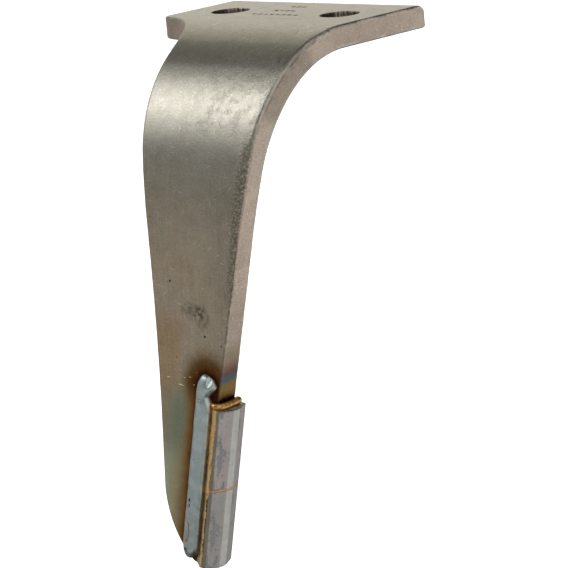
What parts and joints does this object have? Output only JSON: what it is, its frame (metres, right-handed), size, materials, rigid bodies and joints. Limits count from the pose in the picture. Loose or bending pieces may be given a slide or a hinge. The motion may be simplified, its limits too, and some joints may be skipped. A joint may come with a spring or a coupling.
{
  "type": "power harrow tine",
  "caption": "Bent spring-steel knife tine with a two-hole bolting flange and brazed carbide plates welded into its leading edge.",
  "frame": {"origin": "on the flange's top face, which bolts up against the rotor, midway between the two bolt holes", "axes": "+Z out of the mounting face; +X along the line through the two bolt holes, towards the leading edge; the blade bends down on the -Y side"},
  "size_m": [0.1308, 0.1539, 0.262],
  "materials": {
    "forged_steel": "bare forged and blasted spring steel, satin, with temper colours near the weld",
    "carrier_steel": "heat-darkened steel",
    "carbide": "sintered tungsten carbide, satin grey, mottled",
    "braze": "copper-gold brazing alloy, uneven",
    "weld_metal": "as-welded bead, blue-grey, smooth"
  },
  "bodies": {
    "root": {"tine_body": "forged_steel", "tip_carrier": "carrier_steel", "carbide_plate_upper": "carbide", "carbide_plate_lower": "carbide", "braze_layer_upper": "braze", "braze_layer_lower": "braze", "braze_seam_between": "braze", "braze_fillet_top": "braze", "weld_bead_outer": "weld_metal", "weld_bead_inner": "weld_metal"}
  },
  "joints": []
}
